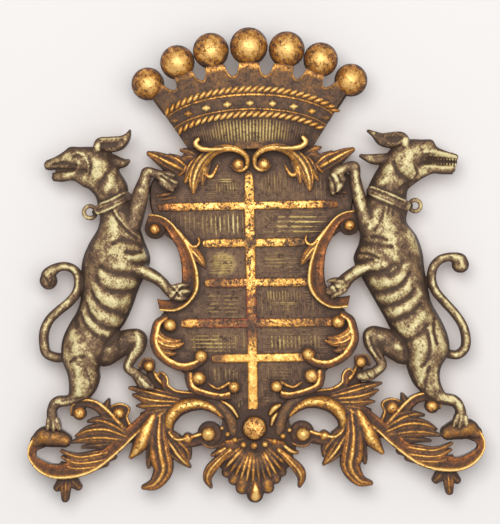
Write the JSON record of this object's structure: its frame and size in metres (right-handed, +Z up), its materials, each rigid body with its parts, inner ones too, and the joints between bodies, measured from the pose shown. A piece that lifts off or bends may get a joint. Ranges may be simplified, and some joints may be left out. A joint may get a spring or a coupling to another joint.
{
  "type": "carved armorial shield",
  "caption": "Gilt and silvered wall carving: a scrolled shield with a raised cross-bar pattern under a balled coronet, held by collared hounds on acanthus scrolls, flat at the back.",
  "frame": {"origin": "on the flat back, at the wall mount behind the middle of the shield", "axes": "+Z up, +X to the viewer's right, the carved front faces -Y and the flat back +Y"},
  "size_m": [0.5758, 0.0576, 0.5991],
  "materials": {
    "giltwood": "rubbed gold leaf over red bole and dark umber ground",
    "silvered_wood": "rubbed pale silver-gilt over dark umber ground"
  },
  "bodies": {
    "root": {"armorial_shield": "giltwood"}
  },
  "joints": []
}
